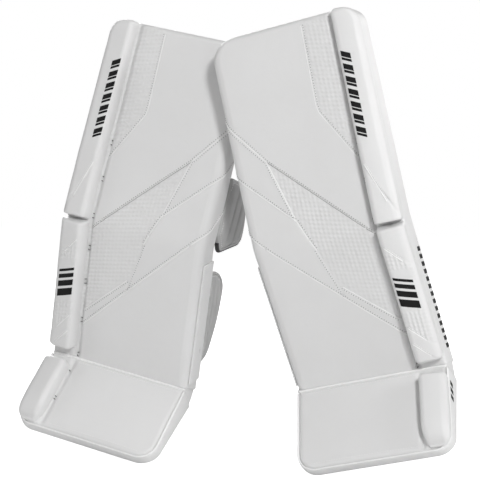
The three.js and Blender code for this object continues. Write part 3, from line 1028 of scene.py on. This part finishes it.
def boot_skin():
    """The leather over the boot core."""
    stations, up, down = end_spaced(-BOOT + 2.5, -1.5, 2.2, 12, 3, 10)
    ends = rounding(down, 3)
    ring = Rings(
        stations,
        -HALF + 2.5 + rounding(up, 32) + ends,
        HALF - 2.5 - rounding(up, 28) - ends,
        rounding(up, 5) + ends,
        boot_back(stations) - rounding(up, 5) - 0.8,
        (7, 5, 5, 7),
        (96, 8, 30, 5),
    )
    x, y, s = ring.x, ring.y, ring.s
    crown = 3.4 * dome(face_share(x)) * ring.front
    uneven = 0.45 * ripples(x, s + y, 70, 31)
    channel = CHANNEL_DEPTH * 0.6 * gutter(x) * (ring.ny < -0.5)
    ring.push((crown + uneven - channel) * calm_ends(up, down, 8))
    share = np.clip(1 + s / 60, 0, 1)
    tapered = s + np.clip(ring.y, 0, None) * ANKLE_TAPER * share
    points = stack(ring.x, ring.y, tapered)
    boot = surfaces["boot_skin"] = Surface(ring, points)
    loft("boot_skin", "boot", points, "boot", "face_skin", None, ("boot_core",))
    rows = []
    for left, height in ((-HALF + 30, -BOOT + 12), (-HALF + 8, -9)):
        rows += surface_stitches(boot, [(left, height), (SEAM - 10, height)], 0)
    part("boot_stitches", "boot", rows, "white_thread", "face_skin")
    x = np.linspace(-HALF + 1, HALF - 2, 60)
    path = stack(x, 0.2 + 1.2 * np.abs(x / HALF) ** 6, np.full_like(x, -0.4))
    part("ankle_welt", "boot", cord_shape(path, 2.3, 10), "welt", "face_skin")
    cords = []
    for height in (-30, -88, -94):
        start, normal = boot.at(SEAM - 3, height, 0.1)
        cords.append(bowed_cord(start, start + np.array([2.5, -2.5, 0.8]), normal, 0.5, 0.7))
    part("lacing_boot", "boot", cords, "cord", "cord")


def arc(cx, cz, radius, start):
    """A quarter of a circle, from an angle in degrees."""
    angle = np.radians(np.linspace(start, start + 90, 18))
    return stack(cx + radius * np.cos(angle), cz + radius * np.sin(angle))


def boot_band():
    """The wall round the boot: down the inner side, across the toe and up the outer side."""
    inner, outer = 34, 30  # its corner radii
    inner_corner = arc(-HALF + inner, -BOOT + inner, inner, 180)
    outer_corner = arc(HALF - outer, -BOOT + outer, outer, 270)
    path = resample([(-HALF, -4), *inner_corner, *outer_corner, (HALF, -4)], 3.0)
    outward = -left_of(tangents(path))
    low, high = np.full(len(path), 1.5), boot_back(path[:, 1]) - 1
    ring = Rings(np.zeros(len(path)), low, high, -0.6, 3.2, (1.6,) * 4, (16, 3, 6, 4))
    y = ring.x  # the rings stand across the wall, so their x runs back and their y inwards
    share = (y - low[:, None]) / (high - low)[:, None]
    x, z = swept(path, outward, 1.3 * dome(share) * ring.front - ring.y)
    loft("boot_band", "boot", stack(x, y, z), "band", "toe_rim", None, ("boot_rim",))
    edge = path - outward * 1.2
    welt = stack(edge[:, 0], np.full(len(edge), 0.8), edge[:, 1])
    part("boot_welt", "boot", cord_shape(welt, 1.5), "welt", "toe_rim")


def ankle_gusset():
    """The soft fold that closes the wedge between the shin and the boot behind the ankle break."""
    over = math.radians(4)
    turns = np.linspace(-over, ANKLE_BEND + over, 22)
    fold = np.sin(np.pi * np.linspace(0, 1, 22))
    edge = HALF - 0.9 - fold
    ring = Rings(turns, -edge, edge, 3.0, CORE - 1.2 - 1.5 * fold, (1.5, 6, 6, 1.5), (40, 8, 40, 4))
    y = ring.y * np.cos(ring.s)
    z = -SHIN - ring.y * np.sin(ring.s)
    loft("ankle_gusset", "shin", stack(ring.x, y, z), "boot", "face_skin")
    reach, turn = CORE * 0.57, ANKLE_BEND * 0.85
    end = [0, reach * math.cos(turn), -SHIN - reach * math.sin(turn)]
    bends["ankle_gusset"] = ("shin", "boot", [0, reach, -SHIN - 4], end)


# ---------------------------------------------------------------- linings, side facing


def quilting(x, s):
    """Diamond quilting: full between the sewn lines and drawn in along them."""
    pitch, puff = 46.0, 2.2
    p = (x + s * 0.9) / pitch
    q = (x - s * 0.9) / pitch
    nearest = np.minimum(np.abs(p - np.round(p)), np.abs(q - np.round(q))) * pitch * 0.7
    return puff * (1 - np.exp(-((nearest / 7.0) ** 2)))


def lining(section, depth, thick):
    """A quilted panel behind a core, in the place of the CAD liner. depth is where its front lies."""
    node = section + "_liner"
    low, high = extent(node, section)
    edge, corner, lift = 2.0, 20, 0.3
    stations, up, down = end_spaced(low[2], high[2], 3.0, edge, edge)
    ends = rounding(up, edge) + rounding(down, edge)
    corners = rounding(up, corner) + rounding(down, corner)
    front = depth(stations)
    ring = Rings(
        stations, low[0] + corners, high[0] - corners, front + lift, front + thick - ends * 0.3,
        (0.8, 1.4, 1.4, 0.8), (30, 3, 90, 3),
    )
    x, s = ring.x, ring.s
    inset = np.clip(np.minimum(x - low[0], high[0] - x) / 8, 0, 1)
    ring.push(quilting(x, s) * (ring.ny > 0.5) * calm_ends(up, down, 8) * inset)
    loft(section + "_lining", section, stack(ring.x, ring.y, s), "lining", "lining", None, (node,))


def linings():
    low, high = extent("shin_liner", "shin")
    lining("thigh", leg_depth, 4.0)
    lining("shin", lambda s: low[1] + 0 * s, high[1] - low[1])


def side_panel():
    """The slick facing on the inner side of the shin."""
    low, high = extent("inner_edge_panel", "shin")
    front, back, top, bottom = low[1], high[1], high[2], -SHIN + 6
    stations, up, down = end_spaced(bottom, top, 3.0, 2, 2)
    ends = rounding(up, 2) + rounding(down, 2)
    left, right = low[0] + ends * 0.3, high[0] + 0.6
    ring = Rings(stations, left, right, front + ends, back - ends, (1.2,) * 4, (3, 24, 3, 3))
    share = (ring.y - front) / (back - front)
    ring.push(0.5 * dome(share) * (ring.nx < -0.5))
    points = ring.points()
    loft("side_facing", "shin", points, "slide", "slide_panel", None, ("inner_edge_panel",))
    shapes = []
    for path in (
        [(front + 3.5, top - 4), (front + 3.5, bottom + 8)],
        [(back - 3.5, top - 4), (back - 3.5, bottom + 8)],
        [(front + 5, top - 4), (back - 5, top - 4)],
    ):
        line = resample(path, STITCH_PITCH)
        shapes += shell_stitches(shells["side_facing"], line, -HALF - 40, 1, STITCH_LIFT)
    part("side_facing_stitches", "shin", shapes, "white_thread", "slide_panel")


# ---------------------------------------------------------------- padded flaps and blocks

WING = ("wing", "wing_skin")
BLOCK = ("block", "foam_block")
PADDED = {
    # node: (section, body, material, slot, voxel, cap). The cap is how far its cloth may swell.
    "knee_wing_inner": ("thigh", "knee_wing_inner", *WING, 4.0, 5.0),
    "knee_wing_outer": ("thigh", "knee_wing_outer", *WING, 4.0, 5.0),
    "calf_wing_inner": ("shin", "calf_wing_inner", *WING, 4.0, 5.0),
    "calf_wing_outer": ("shin", "calf_wing_outer", *WING, 4.0, 5.0),
    "boot_wing_inner": ("boot", "boot", *WING, 3.5, 4.0),
    "boot_wing_outer": ("boot", "boot", *WING, 3.5, 4.0),
    "calf_block": ("shin", "shin", *BLOCK, 5.0, 6.0),
    "knee_block_base": ("shin", "shin", *BLOCK, 5.0, 3.0),
    "knee_block_pad": ("shin", "shin", "lining", "lining", 5.0, 5.0),
}

CLOTH_SETTINGS = {
    "quality": 5,
    "mass": 0.3,
    "tension_stiffness": 12,
    "compression_stiffness": 12,
    "shear_stiffness": 5,
    "bending_stiffness": 0.4,
    "use_pressure": True,
    "uniform_pressure_force": 4,
}
CLOTH_FRAMES = 20
DRAWN_IN = 1.2  # how much smaller a blank starts than its CAD solid, in millimetres


def bake_modifiers(thing):
    """Makes the mesh with its modifiers the object's own mesh."""
    evaluated = thing.evaluated_get(bpy.context.evaluated_depsgraph_get())
    mesh = bpy.data.meshes.new_from_object(evaluated)
    thing.modifiers.clear()
    thing.data = mesh


def vertex_places(thing):
    return np.array([v.co for v in thing.data.vertices])


def cloth_blank(node, section, voxel):
    """A CAD solid's shape in its section frame, remeshed evenly and drawn in a little."""
    faces = [p.vertices[:] for p in frame["nodes"]["left_" + node].data.polygons]
    blank = add_mesh("blank", node_points(node, section) * MM, faces, weld=0.05 * MM)
    remesh = blank.modifiers.new("remesh", "REMESH")
    remesh.mode = "VOXEL"
    remesh.voxel_size = voxel * MM
    bake_modifiers(blank)
    work = bmesh.new()
    work.from_mesh(blank.data)
    work.normal_update()
    for vertex in work.verts:
        vertex.co -= vertex.normal * DRAWN_IN * MM
    work.to_mesh(blank.data)
    work.free()
    return blank


def inflate(blanks):
    """Lets the blanks swell like stuffed covers for a moment."""
    for blank in blanks:
        cloth = blank.modifiers.new("cloth", "CLOTH")
        for key, value in CLOTH_SETTINGS.items():
            setattr(cloth.settings, key, value)
        cloth.settings.effector_weights.gravity = 0
        cloth.point_cache.frame_start = 1
        cloth.point_cache.frame_end = CLOTH_FRAMES
    for number in range(1, CLOTH_FRAMES + 1):
        bpy.context.scene.frame_set(number)


def padded_shapes():
    """Every stuffed piece's shape in its section's millimetres, from one cloth simulation."""
    blanks = {node: cloth_blank(node, facts[0], facts[4]) for node, facts in PADDED.items()}
    before = {node: vertex_places(blank) for node, blank in blanks.items()}
    inflate(blanks.values())
    shapes = {}
    for node, blank in blanks.items():
        bake_modifiers(blank)
        cap = PADDED[node][5] * MM
        moved = vertex_places(blank) - before[node]
        length = np.linalg.norm(moved, axis=1)[:, None]
        moved = moved * np.minimum(1, cap / np.maximum(length, 1e-9))
        for vertex, co in zip(blank.data.vertices, before[node] + moved):
            vertex.co = co
        blank.modifiers.new("smooth", "SUBSURF").levels = 1
        bake_modifiers(blank)
        shapes[node] = vertex_places(blank) / MM, [list(p.vertices) for p in blank.data.polygons]
        bpy.data.objects.remove(blank)
    bpy.context.scene.frame_set(1)
    return shapes


def plate_outline(node, section):
    """The closed (y, z) outline of a flat flap's CAD solid, and the middle of its thickness."""
    points = node_points(node, section)
    middle = (points[:, 0].min() + points[:, 0].max()) / 2
    levels = np.unique(np.round(points[:, 0], 1))
    level = levels[np.argmin(np.abs(levels - middle))]
    ring = np.unique(np.round(points[np.abs(points[:, 0] - level) < 0.2][:, 1:], 1), axis=0)
    centre = (ring.max(0) + ring.min(0)) / 2
    angle = np.arctan2(ring[:, 1] - centre[1], ring[:, 0] - centre[0])
    ring = ring[np.argsort(angle)]
    return resample(np.concatenate([ring, ring[:1]]), 3.0)[:-1], middle


def outward_of(outline, reach):
    """Outward directions of a closed outline, each from the points reach steps to either side."""
    ahead = np.roll(outline, -reach, axis=0) - np.roll(outline, reach, axis=0)
    return -left_of(unit(ahead))


def flap_binding(edge, middle, thick):
    """The tape folded over a flap's edge: a flattened ring closed both ways."""
    angle = np.linspace(0, 2 * np.pi, 12, endpoint=False)
    y, z = swept(edge, outward_of(edge, 1), 3.0 * np.sin(angle) - 2.4)
    points = stack(np.broadcast_to(middle + thick * 0.5 * np.cos(angle), y.shape), y, z)
    first = np.arange(y.size).reshape(y.shape)
    nxt, up = np.roll(first, -1, axis=1), np.roll(first, -1, axis=0)
    return points, stack(first, nxt, np.roll(up, -1, axis=1), up).reshape(-1, 4).tolist()


def flap_hem(edge, middle, thick):
    """The wide black tape along the lower edge of a knee wing, away from its root."""
    low, root = edge[:, 1].min() + 34, edge[:, 0].min() + 12
    hemmed = (edge[:, 1] < low) & (edge[:, 0] > root)
    start = np.flatnonzero(hemmed & ~np.roll(hemmed, 1))[0]
    run = (start + np.arange(hemmed.sum())) % len(edge)
    return cord_shape(stack(np.full(len(run), middle), *edge[run].T), thick * 0.36, 12)


def flap_trim(node, section, body, shape):
    """The binding round a flap's edge and a stitch row on each of its faces."""
    low, high = extent(node, section)
    edge, middle = plate_outline(node, section)
    thick = high[0] - low[0]
    tape = "binding" if section == "boot" else "wing"
    part(node + "_binding", section, flap_binding(edge, middle, thick), tape, "wing_skin", body)
    if section == "thigh":
        part(node + "_hem", section, flap_hem(edge, middle, thick), "binding", "lining", body)
    shell = Shell(*shape)
    inset = edge - 7 * outward_of(edge, 2)
    line = resample([*inset, inset[0]], 4.8)
    shapes = []
    for direction in (1, -1):
        shapes += shell_stitches(shell, line, middle - direction * 60, direction, 0.1)
    part(node + "_stitches", section, shapes, "white_thread", "wing_skin", body)


def flap_root(node, section):
    """The strip that joins a flap's root to the core, noted in bends across the flap's hinge."""
    points = node_points(node, section)
    low, high = points.min(0), points.max(0)
    middle = (low[0] + high[0]) / 2
    root_z = points[points[:, 1] < low[1] + 2][:, 2]
    stations, _, _ = end_spaced(root_z.min() + 5, root_z.max() - 5, 4.0, 2, 2, 3)
    foot = (leg_depth(stations) if section == "thigh" else CORE) - 7
    ring = Rings(stations, middle - 2.2, middle + 2.2, foot, low[1] + 9, (1.8,) * 4, (3, 24, 3, 3))
    name = node + "_root"
    loft(name, section, ring.points(), "wing", "wing_skin")
    hinge_y = joint_at(node + "_open", section)[1]
    bends[name] = (section, node, [middle, hinge_y - 6, 0], [middle, hinge_y + 6, 0])


def fold_channels(points, node, section):
    """Sewn folds down a flap, so that it bends round the leg."""
    low, high = extent(node, section)
    middle = (low[0] + high[0]) / 2
    side = np.sign(points[:, 0] - middle)
    for share in (0.3, 0.55, 0.78):
        y = low[1] + (high[1] - low[1]) * share
        depth = 3.2 * np.exp(-(((points[:, 1] - y - (points[:, 2] - low[2]) * 0.04) / 3.2) ** 2))
        points[:, 0] -= side * np.minimum(depth, np.abs(points[:, 0] - middle) * 0.6)


def padded_parts():
    for node, shape in padded_shapes().items():
        section, body, material, slot, _, _ = PADDED[node]
        if "wing" in node:
            fold_channels(shape[0], node, section)
            flap_trim(node, section, body, shape)
            if section != "boot":
                flap_root(node, section)
        part(node + "_cover", section, shape, material, slot, body, (node,))


# ---------------------------------------------------------------- straps and lace


def strap(node, section):
    """Webbing in the place of a CAD strap: its run is read from the CAD solid."""
    points = node_points(node, section)
    low_z, high_z = points[:, 2].min(), points[:, 2].max()
    run = []
    for x in np.unique(np.round(points[:, 0], 0)):
        near = points[np.abs(points[:, 0] - x) < 1.0]
        run.append((x, (near[:, 1].min() + near[:, 1].max()) / 2))
    run = resample(run, 4.0)
    ring = Rings(np.zeros(len(run)), low_z, high_z, -1.0, 1.0, (0.9,) * 4, (14, 2, 14, 3))
    rib_pitch = 4.2
    ring.push(0.22 * np.cos(2 * np.pi * ring.x / rib_pitch) * np.abs(ring.ny))
    x, y = swept(run, left_of(tangents(run)), ring.y)
    loft(node + "_webbing", section, stack(x, y, ring.x), "webbing", "webbing", node, (node,))
    shapes = []
    backward = np.array([0.0, 1.0, 0.0])
    for z in (low_z + 4, high_z - 4):
        line = resample([(*p, z) for p in run[2:-2]], 5.0)
        shapes += row_of_stitches([(p + 1.05 * backward, backward) for p in line], 0.9)
    part(node + "_stitches", section, shapes, "black_thread", "webbing", node)


def toe_lace():
    """A loop of lace with a small knot, standing in the CAD loop's place."""
    points = node_points("toe_tie", "boot")
    low, high = points.min(0), points.max(0)
    hinge_at = joint_at("toe_tie_swing", "boot")
    across = np.array([1.0, 0, 0])
    reach = ((high + low) / 2 - hinge_at) * (1 - across)
    ahead = unit(reach)
    far = hinge_at + reach * 2
    wide = (high[0] - low[0]) / 2 - 2.4
    t = np.linspace(0.02, 2 * np.pi - 0.02, 90)
    loop = hinge_at + reach * (1 - np.cos(t))[:, None] + across * (wide * np.sin(t))[:, None]
    shapes = [cord_shape(loop, 2.3 + 0.25 * np.sin(np.arange(90) * 2.4), 10)]
    for turn in (-1, 1):
        k = np.linspace(0, 1, 14)[:, None]
        shapes.append(cord_shape(far + across * turn * 14.0 * k - ahead * 10 * k * k, 1.9))
    angle = np.linspace(0, 2 * np.pi * 1.02, 24)[:, None]
    knot = far + 3.4 * (np.cos(angle) * ahead + np.sin(angle) * np.cross(across, ahead))
    shapes.append(cord_shape(knot, 2.0))
    part("toe_lace", "boot", shapes, "cord", "cord", "toe_tie", ("toe_tie",))


def dress_cad():
    """Gives the CAD nodes that stay their finished materials."""
    finishes = {"_clip": "buckle", "toe_bridge": "buckle", "shin_stiffener": "board"}
    for name, node in frame["nodes"].items():
        for ending, material in finishes.items():
            if name.endswith(ending):
                node.data.materials.clear()
                node.data.materials.append(MATERIALS[material])


leg_skin()
face_sewing()
lacing()
rolls()
roll_sewing()
boot_skin()
boot_band()
prints()
ankle_gusset()
linings()
side_panel()
padded_parts()
for strap_name, strap_section in (
    ("knee_strap", "thigh"),
    ("calf_strap_upper", "shin"),
    ("calf_strap_lower", "shin"),
    ("boot_strap", "boot"),
):
    strap(strap_name, strap_section)
toe_lace()
dress_cad()

for side in SIDES:
    for facts in parts:
        place(side, *facts)


# ---------------------------------------------------------------- camera, light and floor


def aim(thing, location, target):
    thing.location = location
    thing.rotation_euler = (Vector(target) - Vector(location)).to_track_quat("-Z", "Y").to_euler()


def add_camera():
    azimuth, elevation = math.radians(22.4), math.radians(4.0)
    left, right = (Vector(joints[f"{side}_knee_flex"]["pos_m"]) for side in SIDES)
    middle = (left + right) / 2
    location = Vector((middle.x + 1.0644, middle.y - 2.5234, left.z + 0.18))
    forward = Vector((-math.sin(azimuth), math.cos(azimuth), -math.tan(elevation)))
    data = bpy.data.cameras.new("camera")
    data.sensor_width = 36
    data.lens = 116.85
    camera = add_object("camera", data)
    aim(camera, location, location + forward)
    bpy.context.scene.camera = camera


def add_lights():
    for name, location, size, power in (
        ("key", (1.9, -2.75, 1.75), 0.5, 57),
        ("side", (3.3, -0.4, 1.3), 1.2, 32),
        ("fill", (-2.8, -1.8, 1.4), 1.6, 16),
        ("top", (0.0, -0.3, 3.0), 1.4, 8),
        ("back_left", (-2.2, 2.8, 1.9), 1.4, 60),
        ("back_right", (1.2, 3.2, 1.6), 1.4, 18),
    ):
        data = bpy.data.lights.new(name, "AREA")
        data.shape = "DISK"
        data.size = size
        data.energy = power
        aim(add_object(name, data), location, (0, 0, 0.4))


def add_world():
    """Soft light all round, and plain white where the camera looks past the floor."""
    world = bpy.data.worlds.new("studio")
    bpy.context.scene.world = world
    world.use_nodes = True
    nodes, links = world.node_tree.nodes, world.node_tree.links
    light = nodes["Background"]
    seen = nodes.new("ShaderNodeBackground")
    path = nodes.new("ShaderNodeLightPath")
    mix = nodes.new("ShaderNodeMixShader")
    for background, strength in ((light, 0.21), (seen, 1.0)):
        background.inputs["Color"].default_value = grey(1.0)
        background.inputs["Strength"].default_value = strength
    for source, target in (
        (path.outputs["Is Camera Ray"], mix.inputs[0]),
        (light.outputs[0], mix.inputs[1]),
        (seen.outputs[0], mix.inputs[2]),
        (mix.outputs[0], nodes["World Output"].inputs["Surface"]),
    ):
        links.new(source, target)


def add_floor():
    reach = 6.0
    corners = [(-reach, -reach, 0), (reach, -reach, 0), (reach, reach, 0), (-reach, reach, 0)]
    mesh = bpy.data.meshes.new("floor")
    mesh.from_pydata(corners, [], [(0, 1, 2, 3)])
    n = Nodes("floor_paint")
    mottle = n.noise(0.4)
    seen = n.add("ShaderNodeLightPath").outputs["Is Camera Ray"]
    n.finish(
        Base_Color=n.mix(mottle, grey(0.8), grey(0.83)),
        Roughness=0.8,
        Emission_Color=grey(1.0),
        Emission_Strength=n.maths("MULTIPLY", seen, 0.82),
    )
    mesh.materials.append(n.material)
    add_object("floor", mesh)


add_camera()
add_world()
add_floor()
add_lights()
bpy.context.scene.view_settings.view_transform = "Standard"
